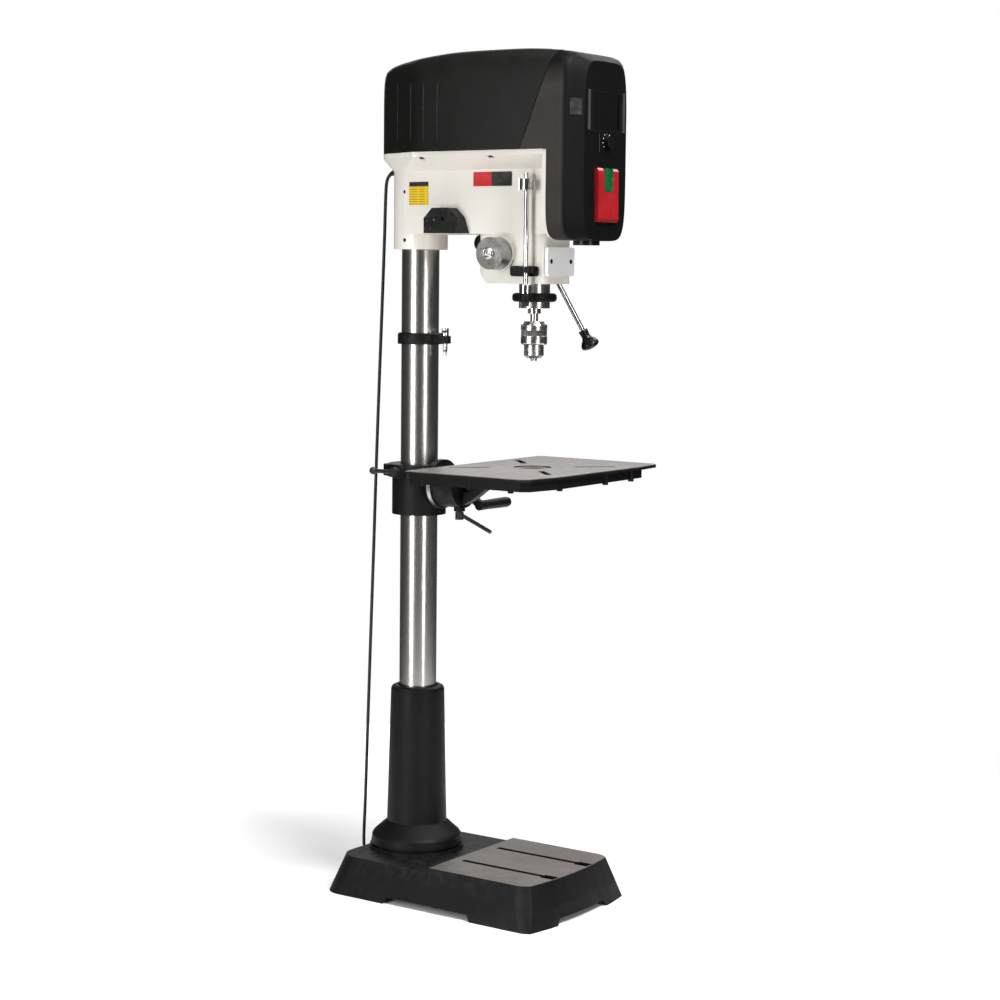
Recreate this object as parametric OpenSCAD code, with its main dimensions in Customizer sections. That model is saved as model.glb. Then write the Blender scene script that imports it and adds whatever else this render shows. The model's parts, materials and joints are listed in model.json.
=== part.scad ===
// Floor-standing drill press with a 20 inch swing
// Millimetres. Z is up, the floor is z = 0, the operator stands on the -Y side.
// The origin is the centre of the base's four anchor holes, on the floor.

/* [Base] */
// Overall width of the cast base
base_w = 345; // [330:1:360]
// Height of the machined pad above the floor
pad_h = 89; // [84:1:94]
// Half the distance between the two T-slots
slot_x = 64.5; // [50:0.5:80]
// How far the feet spread beyond the skirt
foot_flare = 11; // [6:1:14]
// Depth of the T-slots
slot_depth = 24; // [20:1:28]

/* [Column] */
// Outside diameter of the column tube
column_d = 80; // [79:0.5:81]
// Wall of the column tube
column_wall = 6; // [4:0.5:8]
// Height of the column's top end
column_top = 1538; // [1520:1:1545]
// Distance from the column axis to the spindle axis
throat = 294; // [290:1:298]

/* [Table] */
// Height of the table's top face at rest
table_z = 930; // [900:1:960]
// Width of the table
table_w = 493; // [470:1:510]
// Depth of the table
table_l = 314; // [300:1:330]
// Width of the diagonal slots
diag_w = 14; // [10:1:18]

/* [Head] */
// Half width of the head casting's wall
wall_x = 60; // [59:0.5:62]
// Diameter of the quill
quill_d = 64; // [60:1:66]
// Half width of the top cover
cover_x = 115; // [113:1:118]
// Thickness of the cover's wall
cover_t = 4; // [3:0.5:5]

/* [Feed] */
// Distance from the feed shaft to a handle's end
handle_r = 208; // [190:1:212]
// Turn of the three handles at rest
handle_phase = 23; // [0:1:40]
// Diameter of the handle rods
handle_d = 10; // [8:1:12]
// Diameter of the depth rod
depth_d = 10; // [8:0.5:10]

/* [Chuck] */
// Diameter of the chuck's outer sleeve
chuck_d = 55; // [50:1:58]

/* [Cord] */
// Diameter of the supply cord
cord_d = 7; // [6:0.5:8]

/* [Hidden] */
$fn = 64;
// The column axis lies this far behind the origin
col_y = 161;
col_r = column_d / 2;
sp_y = -throat;
quill_r = quill_d / 2;
quill_bot = 1259;
quill_top = 1529;
// Feed shaft: its axis, with its pinion in mesh behind the quill
feed_y = sp_y + 45;
feed_z = 1370;
feed_teeth = 16;
gear_m = 2;
// Table rack and its pinion, on the operator's right
rack_x = 49.5;
pin_teeth = 12;
pin_x = rack_x + gear_m * pin_teeth / 2;
pin_z = table_z - 74;
wheel_teeth = 20;
worm_y = 39;
worm_z = pin_z + 30.5;
// Height of the tilt axis, below the table's top face
tilt_z = table_z - 49;
depth_x = -80;
depth_y = -326;
// Chuck jaws: their slope, reach and places round the chuck
jaw_slope = 15;
jaw_len = 34;
JAW_TURNS = [30, 150, 270];
// End of the strain relief, and the points of the supply cord from there to its coil
gland_tip = [0, 82, 1538];
CORD = [
    [0, 82, 1538], [0, 88, 1532], [0, 92.5, 1522], [0, 94.5, 1505], [0, 96, 1470],
    [0, 98, 1400], [0, 103, 1270], [0, 110, 1100], [0, 117, 920], [0, 123, 740],
    [0, 131, 520], [0, 138, 320], [0, 144, 150], [0, 147, 85], [3, 148, 48],
    [12, 147, 22], [27, 142, 8], [44, 136, 3.5], [60, 132, 3.5], [70, 130, 3.5]
];
coil_x = 70;
coil_y = 172;
coil_r = 38.5;

// Places its children in the column's own coordinates
module at_col() {
    translate([0, col_y, 0]) children();
}

// A flat rectangle with round corners, from one corner to the other
module rrect(x0, y0, x1, y1, r) {
    translate([x0 + r, y0]) square([x1 - x0 - 2 * r, y1 - y0]);
    translate([x0, y0 + r]) square([x1 - x0, y1 - y0 - 2 * r]);
    for (x = [x0 + r, x1 - r]) {
        for (y = [y0 + r, y1 - r]) translate([x, y]) circle(r);
    }
}

// A plate standing across X, its outline given in Y and Z
module across_x(x0, x1) {
    translate([x0, 0, 0]) rotate([90, 0, 90]) linear_extrude(x1 - x0) children();
}

// A plate standing across Y, its outline given in X and Z
module across_y(y0, y1) {
    translate([0, y1, 0]) rotate([90, 0, 0]) linear_extrude(y1 - y0) children();
}

module rod_x(x0, x1, r, y, z) {
    translate([x0, y, z]) rotate([0, 90, 0]) cylinder(h = x1 - x0, r = r);
}

module rod_y(y0, y1, r, x, z) {
    translate([x, y1, z]) rotate([90, 0, 0]) cylinder(h = y1 - y0, r = r);
}

module ring(h, ro, ri) {
    difference() {
        cylinder(h = h, r = ro);
        translate([0, 0, -1]) cylinder(h = h + 2, r = ri);
    }
}

// Involute gear outline of module m with n teeth, thinned by the play b
function inv_deg(a) = tan(a) * 180 / PI - a;
function flank(m, n, r, b) = 90 / n - b / (m * n) * 180 / PI + inv_deg(20)
    - inv_deg(acos(min(1, m * n / 2 * cos(20) / r)));
module gear2d(m, n, b) {
    rp = m * n / 2;
    rb = rp * cos(20);
    r0 = max(rb, rp - 1.15 * m);
    ra = rp + 0.95 * m;
    rs = [rp - 1.25 * m, for (i = [0:4]) r0 + (ra - r0) * i / 4];
    pts = [for (k = [0:n - 1]) each [
        for (i = [0:5]) let (a = 360 / n * k - flank(m, n, max(rs[i], r0), b))
            [rs[i] * cos(a), rs[i] * sin(a)],
        for (i = [5:-1:0]) let (a = 360 / n * k + flank(m, n, max(rs[i], r0), b))
            [rs[i] * cos(a), rs[i] * sin(a)]
    ]];
    polygon(pts);
}

// Straight rack teeth: outline of count teeth, pitch line at x = 0, pointing +X
module rack2d(m, count, b, deep) {
    p = PI * m;
    h = p / 4 - b / 2;
    t = tan(20);
    a = 0.95 * m;
    d = 1.25 * m;
    pts = [for (k = [0:count - 1]) each [
        [-d, p * k - h - d * t], [a, p * k - h + a * t],
        [a, p * k + h - a * t], [-d, p * k + h + d * t]
    ]];
    polygon(concat(pts, [[-deep, p * (count - 1) + p / 2], [-deep, -p / 2]]));
}

// ---- stand ----

module base_outline(inset, r) {
    w = base_w / 2 - inset;
    intersection() {
        rrect(-w, -430 + inset, w, 108 - inset, r);
        translate([0, 372]) circle(802 - inset, $fn = 128);
    }
}

// One-piece cast base: sloping sides, four corner feet, T-slots, hollow below
module base_casting() {
    color("#26262a") at_col() difference() {
        hull() {
            linear_extrude(1) base_outline(-foot_flare, 45);
            translate([0, 0, 38]) linear_extrude(1) base_outline(0, 52);
            translate([0, 0, pad_h - 1]) linear_extrude(1) base_outline(17.5, 45);
        }
        // gaps between the four feet
        across_x(-250, 250) polygon([[-275, -1], [-265, 14], [-57, 14], [-47, -1]]);
        across_y(-500, 200) polygon([[-95, -1], [-83, 14], [83, 14], [95, -1]]);
        translate([-200, -150, pad_h - 9]) cube([400, 300, 20]);
        translate([0, 0, -1]) linear_extrude(53) difference() {
            rrect(-148, -402, 148, 82, 40);
            for (x = [-50, 50]) translate([x - 5, -410]) square([10, 500]);
            for (y = [-300, -150]) translate([-150, y]) square([300, 10]);
            for (sx = [-1, 1]) for (y = [-372, 50]) {
                translate([sx * 120, y]) circle(24);
            }
            circle(112);
        }
        for (sx = [-1, 1]) {
            translate([sx * slot_x - 6.5, -406, pad_h - slot_depth]) cube([13, 234, 40]);
            translate([sx * slot_x - 11, -406, pad_h - slot_depth]) cube([22, 234, 9]);
            translate([sx * slot_x - 12, -408, pad_h - slot_depth]) cube([24, 32, 40]);
            for (y = [-372, 50]) translate([sx * 120, y, -1]) cylinder(h = 31, r = 7);
            for (a = [45, 135]) rotate([0, 0, sx * a]) {
                translate([82, 0, -1]) cylinder(h = 100, r = 5.6);
                translate([82, 0, -1]) cylinder(h = 61, r = 11);
            }
        }
        translate([0, 0, -1]) cylinder(h = 100, r = 30);
    }
}

// Cast foot that holds the column's lower end
module column_foot() {
    color("#2b2b2e") at_col() difference() {
        rotate_extrude() polygon([
            [col_r + 0.05, 96], [col_r + 0.05, 431], [44, 439], [50, 439], [55.5, 436],
            [57.8, 430], [65, 141], [93, 116], [97, 110], [99, 96], [99, 92],
            [96, 92], [96, 88], [102, 88], [102, 80.05], [34, 80.05], [34, 96]
        ]);
        for (a = [45, 135, 225, 315]) rotate([0, 0, a]) {
            translate([82, 0, 70]) cylinder(h = 36, r = 5.05);
        }
    }
}

// Hexagon bolts that come up through the base into the foot
module foot_bolts() {
    color("#3a3a3d") at_col() for (a = [45, 135, 225, 315]) rotate([0, 0, a]) {
        translate([82, 0, 59]) cylinder(h = 45, r = 5);
        translate([82, 0, 53.5]) cylinder(h = 6.4, r = 9, $fn = 6);
    }
}

// Ground steel tube
module column_tube() {
    color("#b9b8b6") at_col() translate([0, 0, 96.1]) {
        ring(column_top - 96.1, col_r, col_r - column_wall);
    }
}

// Collar clamped on the column: keeps the rack's top end and holds the chuck key
module rack_collar() {
    color("#232326") at_col() difference() {
        union() {
            translate([0, 0, 1177.5]) cylinder(h = 21, r = 48);
            translate([0, 0, 1198.4]) cylinder(h = 3, r1 = 48, r2 = 45);
            translate([-2, -68, 1180]) cylinder(h = 16, r = 12);
            translate([-14, -68, 1180]) cube([24, 40, 16]);
        }
        translate([0, 0, 1170]) cylinder(h = 50, r = col_r + 0.05);
        translate([-2, -68, 1170]) cylinder(h = 40, r = 5.3);
        rod_x(-70, -30, 4.1, 0, 1189);
    }
}

// Socket set screws of one size: three in the head, one in the collar
module set_screws() {
    color("#1c1c1e") at_col() {
        for (z = [1397, 1498]) difference() {
            rod_x(-56, -col_r - 0.3, 4, 0, z);
            translate([-57, 0, z]) rotate([0, 90, 0]) cylinder(h = 5, r = 2.3, $fn = 6);
        }
        difference() {
            rod_x(-47, -col_r - 0.3, 4, 0, 1189);
            translate([-48, 0, 1189]) rotate([0, 90, 0]) cylinder(h = 5, r = 2.3, $fn = 6);
        }
    }
}

// Chuck key: pilot, toothed head, shank and cross bar, standing in the collar
module chuck_key() {
    color("#8f9093") at_col() translate([-2, -68, 0]) {
        translate([0, 0, 1154]) cylinder(h = 8, r = 3);
        translate([0, 0, 1162]) cylinder(h = 5, r1 = 4, r2 = 5);
        translate([0, 0, 1167]) cylinder(h = 31, r = 5);
        translate([0, 0, 1196.3]) cylinder(h = 16, r = 7.5);
        rotate([0, 0, 35]) rod_x(-30, 30, 3.4, 0, 1206);
    }
}

// ---- table ----

// Toothed rack, free to swing round the column between foot and collar
module rack() {
    color("#5a5a5c") at_col() intersection() {
        translate([rack_x, 7.5, pin_z - 66 * PI * gear_m]) rotate([90, 0, 0]) {
            linear_extrude(15) rack2d(gear_m, 120, 0.12, 9.1);
        }
        translate([40.4, -8, 440.5]) cube([14, 16, 736]);
    }
}

// Cast bracket that slides on the column, with gear housing and tilt flange
module table_bracket() {
    z0 = table_z - 117;
    color("#242427") at_col() difference() {
        union() {
            translate([0, 0, z0]) cylinder(h = 84, r = 58);
            translate([0, 0, z0 + 80]) cylinder(h = 28, r = 66);
            // gear housing on the operator's right
            translate([38, -16, z0 + 8]) cube([52, 74, 84]);
            // neck and flange of the tilting joint
            hull() {
                rod_y(-68, -54, 52, 0, tilt_z);
                rod_y(-40, -39, 36, 0, tilt_z - 8);
            }
            // ear and boss of the column lock
            hull() {
                rotate([0, 0, 125]) translate([57, 0, z0 + 82]) cylinder(h = 24, r = 20);
                translate([0, 0, z0 + 80]) cylinder(h = 28, r = 60);
            }
            rod_x(-76, -40, 15, 0, z0 + 94);
        }
        translate([0, 0, z0 - 5]) cylinder(h = 140, r = col_r + 0.05);
        // way for the rack
        translate([30, -8.5, z0 - 5]) cube([22.3, 17, 140]);
        // room for the pinion and its wheel
        rod_y(-11, 11.6, 15, pin_x, pin_z);
        rod_y(11, 50.5, 23.5, pin_x, pin_z);
        rod_y(-18, 60, 6.06, pin_x, pin_z);
        // room for the worm and its shaft
        rod_x(44, 80.3, 13.5, worm_y, worm_z);
        rod_x(80, 95, 8.06, worm_y, worm_z);
        rod_x(40, 50, 6.06, worm_y, worm_z);
        // column lock screw
        rod_x(-80, -38, 6.06, 0, z0 + 94);
        // tilt bolt
        rod_y(-80, -30, 8.06, 0, tilt_z);
    }
}

// Lock screw with its cross lever and ball, pressing on the column
module column_lock() {
    z = table_z - 23;
    color("#4c4c50") at_col() {
        rod_x(-90, -col_r - 0.4, 6, 0, z);
        rod_x(-92, -77, 10, 0, z);
        rod_y(6, 56, 4.5, -84, z);
        translate([-84, 60, z]) sphere(8);
    }
}

// Worm wheel and rack pinion on one short shaft
module worm_wheel() {
    color("#7a7568") at_col() translate([pin_x, 0, pin_z]) rotate([90, 0, 0]) {
        translate([0, 0, -8]) linear_extrude(16) rotate([0, 0, 180 / pin_teeth]) {
            gear2d(gear_m, pin_teeth, 0.12);
        }
        translate([0, 0, -46]) linear_extrude(14) gear2d(gear_m, wheel_teeth, 0.2);
        translate([0, 0, -50]) cylinder(h = 67, r = 6);
        translate([0, 0, -34]) cylinder(h = 24, r = 9);
    }
}

// Worm on the crank shaft
module worm_shaft() {
    color("#77777a") at_col() {
        difference() {
            rod_x(51, 78, 8, worm_y, worm_z);
            for (x = [53:3.1:76]) translate([x, worm_y, worm_z]) rotate([0, 90, 0]) {
                ring(1.5, 9, 6.8);
            }
        }
        rod_x(40.5, 51.5, 6, worm_y, worm_z);
        rod_x(77, 152, 8, worm_y, worm_z);
    }
}

// Cast crank on the end of the worm shaft
module crank_arm() {
    color("#3b3b3e") at_col() translate([0, worm_y, worm_z]) rotate([34.5, 0, 0]) {
        difference() {
            union() {
                rod_x(138, 160, 15, 0, 0);
                across_x(146, 157) polygon([[0, -11], [0, 11], [-115, 8], [-115, -8]]);
                rod_x(144, 160, 11, -115, 0);
            }
            rod_x(130, 152.05, 8.03, 0, 0);
            rod_x(140, 170, 4.55, -115, 0);
        }
        rod_x(144, 250, 4.5, -115, 0);
    }
}

// Handle that turns freely on the crank's pin
module crank_grip() {
    color("#161617") at_col() translate([0, worm_y, worm_z]) rotate([34.5, 0, 0]) {
        translate([160.6, -115, 0]) rotate([0, 90, 0]) rotate_extrude() polygon([
            [4.56, 0], [9, 0], [10.5, 4], [11, 30], [11.5, 70], [11.5, 88],
            [10, 95], [7, 98.5], [0, 99.5], [0, 91], [4.56, 91]
        ]);
    }
}

// Degree scale on the edge of the tilting flange
module tilt_scale() {
    color("#c9c9c4") at_col() translate([0, -58.6, tilt_z]) rotate([90, 0, 0]) {
        intersection() {
            difference() {
                cylinder(h = 9, r = 53);
                translate([0, 0, -1]) cylinder(h = 11, r = 52.05);
            }
            translate([0, 0, -2]) linear_extrude(20) polygon([
                [0, 0], [-80, 30], [-80, -80], [20, -80]
            ]);
        }
    }
}

// Bolt on which the table tilts
module tilt_bolt() {
    color("#505054") at_col() {
        rod_y(-106, -44, 8, 0, tilt_z);
        translate([0, -105.4, tilt_z]) rotate([90, 0, 0]) cylinder(h = 10, r = 14, $fn = 6);
    }
}

// Lever under the arm that locks the tilt
module tilt_lock() {
    color("#1d1d1f") at_col() translate([0, -108, tilt_z - 54]) {
        translate([0, 0, -14]) cylinder(h = 44, r = 5);
        translate([0, 0, -20]) cylinder(h = 16, r = 9);
        translate([0, 0, -8]) rotate([112, 0, 0]) cylinder(h = 88, r = 4.2);
    }
}

// Cast arm between the bracket's flange and the table
module table_arm() {
    top = table_z - 26.05;
    color("#29292c") at_col() difference() {
        union() {
            rod_y(-122, -68.4, 48.5, 0, tilt_z);
            across_x(-11, 11) polygon([
                [-100, tilt_z - 44], [-124, tilt_z - 42], [-150, tilt_z - 28],
                [-190, tilt_z + 2], [-330, tilt_z + 10], [-330, top], [-100, top]
            ]);
            translate([-62, -345, top - 12]) cube([124, 230, 12]);
            translate([0, -108, tilt_z - 56]) cylinder(h = 30, r = 12);
        }
        rod_y(-130, -60, 8.06, 0, tilt_z);
        rod_y(-140, -105, 17, 0, tilt_z);
        translate([0, -108, tilt_z - 80]) cylinder(h = 60, r = 5.1);
        translate([-80, -140, top]) cube([160, 80, 60]);
        translate([0, sp_y, top - 40]) cylinder(h = 60, r = 30);
    }
}

module diag_slot(a, w) {
    rotate([0, 0, a]) {
        translate([96, -w / 2]) square([74, w]);
        translate([96, 0]) circle(w / 2);
        translate([170, 0]) circle(w / 2);
    }
}

// Ground cast table: thin rim, ribbed skirt, four diagonal slots, centre hole
module table_top() {
    w = table_w / 2;
    y1 = -146;
    y0 = y1 - table_l;
    color("#8d8580") at_col() difference() {
        union() {
            translate([0, 0, table_z - 7]) linear_extrude(7) polygon([
                [-w, y1 - 4], [-w + 4, y1], [w - 4, y1], [w, y1 - 4], [w, y0 + 22],
                [w - 12, y0 + 8], [w - 90, y0], [-w + 96, y0], [-w + 14, y0 + 14],
                [-w, y0 + 30]
            ]);
            difference() {
                translate([0, 0, table_z - 26]) linear_extrude(20) polygon([
                    [-w + 9, y1 - 8], [w - 9, y1 - 8], [w - 34, y0 + 34],
                    [w - 60, y0 + 14], [-w + 96, y0 + 6], [-w + 20, y0 + 19],
                    [-w + 9, y0 + 34]
                ]);
                for (sx = [0, 1]) mirror([sx, 0, 0]) {
                    translate([70, y0 + 42, table_z - 30]) cube([w - 124, table_l - 66, 18]);
                }
                translate([-60, y0 + 18, table_z - 30]) cube([120, 40, 18]);
            }
            for (sx = [-1, 1]) for (y = [-185, -300, -400]) {
                translate([sx * 232, y, table_z - 30]) cylinder(h = 24, r = 6);
            }
            for (x = [-130, 40, 140]) translate([x, y0 + 12, table_z - 30]) cylinder(h = 24, r = 6);
        }
        translate([0, sp_y, table_z - 40]) linear_extrude(60) {
            for (a = [45:90:315]) diag_slot(a, diag_w);
            circle(25);
        }
        translate([0, sp_y, table_z - 3]) linear_extrude(6) circle(40);
    }
}

// ---- head ----

// Plan outline of the casting's rim and of the cover
module head_outline(inset) {
    x = cover_x - 4 - inset;
    circle(80 - inset);
    polygon([
        [-80 + inset, 0], [-x, -60], [-x, -384 + inset], [x, -384 + inset],
        [x, -60], [80 - inset, 0]
    ]);
}

// Head casting: column sleeve, side walls, rim under the cover, quill housing
module head_casting() {
    color("#e6e2d8") at_col() difference() {
        union() {
            translate([0, 0, 1378]) cylinder(h = 190, r = 57.5);
            translate([-wall_x, -376, 1410]) cube([2 * wall_x, 376, 150]);
            hull() {
                translate([0, 0, 1541]) linear_extrude(1) {
                    circle(57.5);
                    translate([-wall_x, -376]) square([2 * wall_x, 376]);
                }
                translate([0, 0, 1567]) linear_extrude(10) head_outline(0);
            }
            // front flange towards the cover
            translate([0, 0, 1440]) linear_extrude(136) {
                polygon([
                    [-wall_x, -352], [-wall_x - 14, -368], [-cover_x + 4, -384],
                    [-cover_x + 4, -395], [cover_x - 4, -395], [cover_x - 4, -384],
                    [wall_x + 14, -368], [wall_x, -352]
                ]);
            }
            across_y(-395, -384) polygon([
                [-111, 1441], [-108, 1425], [-90, 1404], [-70, 1399], [70, 1399],
                [90, 1404], [108, 1425], [111, 1441]
            ]);
            // quill housing
            translate([0, 0, 1309]) linear_extrude(110) {
                rrect(-58, -352, 58, -186, 24);
            }
            rod_x(-66, -40, 36, feed_y, feed_z);
            rod_x(40, 80, 36, feed_y, feed_z);
        }
        translate([0, 0, 1370]) cylinder(h = 168.2, r = col_r + 0.05);
        translate([0, sp_y, 1300]) cylinder(h = 300, r = quill_r + 0.04);
        // cut-away corner below the feed shaft
        across_x(-70, 70) polygon([[-180, 1300], [-180, 1345], [-222, 1300]]);
        // hollow between column and quill
        translate([-wall_x + 9, -236, 1422]) cube([2 * wall_x - 18, 166, 160]);
        // hollow of the front flange
        translate([-54, -400, 1430]) cube([108, 60, 160]);
        // feed shaft and its pinion
        rod_x(-12, 90, 18.56, feed_y, feed_z);
        rod_x(-70, -10, 9.06, feed_y, feed_z);
        translate([-12, feed_y - 30, feed_z - 18.5]) cube([24, 30, 37]);
        // set screw holes
        for (z = [1397, 1498]) rod_x(-70, -30, 4.1, 0, z);
        // cover screw pockets in the rim
        for (sx = [-1, 1]) for (y = [-80, -254]) {
            translate([sx * 103, y, 1550]) cylinder(h = 40, r = 2.6);
            translate([sx * 103, y, 1545]) cylinder(h = 22, r = 7);
        }
        for (x = [-36, 36]) rod_y(-360, -330, 2.6, x, 1355);
        translate(gland_tip) rotate([-110, 0, 0]) translate([0, 0, -130]) {
            cylinder(h = 130, r = 6.2);
        }
    }
}

// One socket cap screw, its head's outer face at the origin, its shank up +Z
module cap_screw(l) {
    difference() {
        union() {
            cylinder(h = 4.4, r = 4.8);
            cylinder(h = l, r = 2.5);
        }
        translate([0, 0, -1]) cylinder(h = 3.5, r = 2.3, $fn = 6);
    }
}

// Cap screws of one size: four hold the cover, two the front plate
module cap_screws() {
    color("#2a2a2c") at_col() {
        for (sx = [-1, 1]) for (y = [-80, -254]) {
            translate([sx * 103, y, 1562.5]) cap_screw(22);
        }
        for (x = [-36, 36]) translate([x, -358.8, 1355]) rotate([-90, 0, 0]) cap_screw(20);
    }
}

// Motor housing round the drive sleeve
module motor_stator() {
    color("#6b6f73") at_col() translate([0, sp_y, 1577.1]) difference() {
        union() {
            cylinder(h = 10, r = 86);
            cylinder(h = 120, r = 78);
        }
        translate([0, 0, -1]) cylinder(h = 17, r = 24);
        translate([0, 0, 12]) cylinder(h = 96, r = 52);
        translate([0, 0, 90]) cylinder(h = 40, r = 24);
    }
}

// Rotor with the splined sleeve that drives the spindle
module motor_rotor() {
    color("#a06a3c") at_col() translate([0, sp_y, 0]) difference() {
        union() {
            translate([0, 0, 1545]) cylinder(h = 195, r = 18);
            translate([0, 0, 1592]) cylinder(h = 90, r = 50);
        }
        translate([0, 0, 1540]) cylinder(h = 210, r = 10.4);
    }
}

// Solid bulk of the cover, smaller all round by the inset
module cover_bulk(i) {
    x = cover_x - i;
    base = 1560;
    hull() {
        translate([0, 0, base]) cylinder(h = 162 - i, r = 80 - i);
        translate([0, 0, base]) cylinder(h = 186 - i, r = 69 - i);
        translate([0, -25, base]) cylinder(h = 201 - i, r = 50);
        for (sx = [-1, 1]) {
            for (y = [-62, -430 + i]) {
                translate([sx * (x - 12), y, base]) cylinder(h = 172 - i, r = 12);
            }
            for (y = [-72, -425]) {
                translate([sx * (x - 26), y, base]) cylinder(h = 197 - i, r = 18);
            }
            translate([sx * (x - 26), -360, base]) cylinder(h = 204 - i, r = 12);
            translate([sx * 76 - 2, -461 + i, base]) cube([4, 4, 158 - i]);
            translate([sx * 44 - 2, -461 + i, base]) cube([4, 4, 184 - i]);
        }
        translate([-12, -461 + i, base]) cube([24, 4, 192 - i]);
        translate([-50, -330, base]) cube([100, 180, 220 - i]);
        translate([-40, -420, base]) cube([80, 340, 211 - i]);
    }
}

// Block behind the sloping joint between the two covers
module behind_seam() {
    across_x(-140, 140) polygon([
        [-330.7, 1577.1], [-403.7, 1757], [-417, 1790], [150, 1790], [150, 1577.1]
    ]);
}

// Block ahead of the joint
module ahead_of_seam() {
    across_x(-140, 140) polygon([
        [-331.3, 1577.1], [-404.3, 1757], [-417.6, 1790], [-480, 1790], [-480, 1560.5],
        [-395.1, 1560.5], [-395.1, 1577.1]
    ]);
}

// Rear part of the cover
module cover_rear() {
    color("#1f1f20") at_col() {
        difference() {
            intersection() {
                cover_bulk(0);
                behind_seam();
            }
            cover_bulk(cover_t);
        }
        for (sx = [-1, 1]) for (y = [-80, -254]) {
            translate([sx * 103, y, 1577.2]) ring(14, 8.5, 2.55);
        }
    }
}

// Front part of the cover, which comes down in front of the casting
module cover_front() {
    color("#262625") at_col() difference() {
        union() {
            intersection() {
                cover_bulk(0);
                ahead_of_seam();
            }
            hull() {
                translate([0, 0, 1440]) linear_extrude(121) {
                    polygon([
                        [-115, -395.1], [115, -395.1], [115, -430], [113.4, -436],
                        [109.6, -440], [78, -461], [-78, -461], [-109.6, -440],
                        [-113.4, -436], [-115, -430]
                    ]);
                }
                translate([0, 0, 1397]) linear_extrude(4) {
                    polygon([
                        [-98, -395.1], [98, -395.1], [98, -430], [72, -446],
                        [-72, -446], [-98, -430]
                    ]);
                }
            }
        }
        // hollow of the upper part
        intersection() {
            cover_bulk(cover_t);
            translate([-200, -600, 1560]) cube([400, 700, 300]);
        }
        // hollow of the lower part
        translate([-109, -436, 1446]) cube([218, 80, 115]);
        translate([-76, -456, 1446]) cube([152, 70, 115]);
        // openings for the display, dial, switch, lamp and catch
        translate([-68, -470, 1614]) cube([136, 30, 80]);
        rod_y(-470, -440, 7, 6, 1594);
        translate([-41, -470, 1429]) cube([82, 40, 117]);
        translate([0, -419, 1390]) cylinder(h = 80, r = 24);
        on_cheek() translate([-13.2, -5, -16.2]) cube([26.4, 7.5, 32.4]);
    }
}

// Places its children on the front cover's left cheek, +Y into the cover
module on_cheek() {
    translate([-93.8, -450.5, 1659]) rotate([0, 0, -33.6]) children();
}

// Small catch let into the front cover's left cheek
module cover_latch() {
    color("#303030") at_col() on_cheek() translate([-13, -0.6, -16]) cube([26, 3, 32]);
}

// Frame of the display
module control_panel() {
    color("#151516") at_col() difference() {
        translate([-67.8, -461, 1614.2]) cube([135.6, 14, 79.6]);
        translate([-50, -470, 1618]) cube([100, 17, 72]);
        translate([-46, -470, 1622]) cube([92, 40, 64]);
    }
}

// Dark glass of the display
module display_glass() {
    color("#08080a") at_col() {
        translate([-49.9, -455, 1618.1]) cube([99.8, 2, 71.8]);
    }
}

// Speed dial
module speed_dial() {
    color("#0f0f10") at_col() {
        rod_y(-470, -461.4, 12, 6, 1594);
        rod_y(-461.5, -446, 6, 6, 1594);
        translate([5.2, -471.4, 1597]) cube([1.6, 2, 8]);
    }
}

// Housing of the switch, with a slot for the start button
module switch_housing() {
    color("#131314") at_col() difference() {
        translate([-40.8, -461, 1429.2]) cube([81.6, 30, 116.6]);
        translate([-38, -470, 1432]) cube([76, 30, 111]);
        rod_y(-445, -425, 4.1, 0, 1518);
        rod_x(-45, 45, 2.06, -458, 1537);
    }
}

// Green start button
module start_button() {
    color("#0d7a3a") at_col() {
        translate([-15, -471, 1495]) cube([30, 27, 46]);
        rod_y(-445, -434, 4, 0, 1518);
    }
}

// Red stop paddle, hinged along its top edge
module stop_paddle() {
    color("#c01820") at_col() difference() {
        union() {
            across_x(-37.5, 37.5) polygon([
                [-453, 1541], [-466, 1541], [-470, 1536], [-471, 1440], [-467, 1434],
                [-453, 1434]
            ]);
            rod_x(-40.4, 40.4, 2, -458, 1537);
        }
        translate([-15.6, -480, 1494.4]) cube([31.2, 40, 60]);
        translate([-34, -461, 1430]) cube([68, 10, 58]);
    }
}

// Work lamp under the front cover: ring and lens
module work_lamp() {
    color("#101011") at_col() translate([0, -419, 0]) {
        difference() {
            union() {
                translate([0, 0, 1388]) cylinder(h = 9, r = 27);
                translate([0, 0, 1396.9]) cylinder(h = 10, r = 23.9);
            }
            translate([0, 0, 1386]) cylinder(h = 17, r = 20);
        }
        translate([0, 0, 1391]) cylinder(h = 4, r = 19.9);
    }
}

// Plate on the front of the quill housing
module front_plate() {
    color("#e9e6de") at_col() difference() {
        across_y(-359, -352.1) rrect(-49, 1325, 49, 1384, 7);
        for (x = [-36, 36]) rod_y(-365, -340, 2.6, x, 1355);
        for (x = [-36, 36]) rod_y(-365, -354.2, 5, x, 1355);
    }
}

// Holder for hexagon keys on the casting's left side
module tool_holder() {
    color("#1a1a1b") at_col() difference() {
        across_x(-88, -wall_x - 0.1) polygon([
            [-73, 1411], [-73, 1442], [-94, 1463], [-138, 1463], [-158, 1444], [-170, 1411]
        ]);
        for (i = [0:2]) rod_x(-92, -70, key_r(i) + 0.05, key_y(i), key_z(i));
        rod_x(-92, -82, 4, -122, 1440);
    }
}

function key_r(i) = 2 + 0.4 * i;
function key_y(i) = -84 - 9 * i;
function key_z(i) = [1436, 1420, 1438][i];

// Hexagon keys kept in the holder: three sizes
module hex_keys() {
    color("#b8b8b8") at_col() for (i = [0:2]) {
        translate([-91, key_y(i), key_z(i)]) rotate([0, 90, 0]) cylinder(h = 20.5, r = key_r(i), $fn = 6);
    }
}

// Plain two-colour plate
module name_plate() {
    color("#b5282c") at_col() {
        across_x(-wall_x - 1, -wall_x - 0.05) rrect(-276, 1507, -180, 1536, 2);
    }
}

// ---- feed ----

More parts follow.
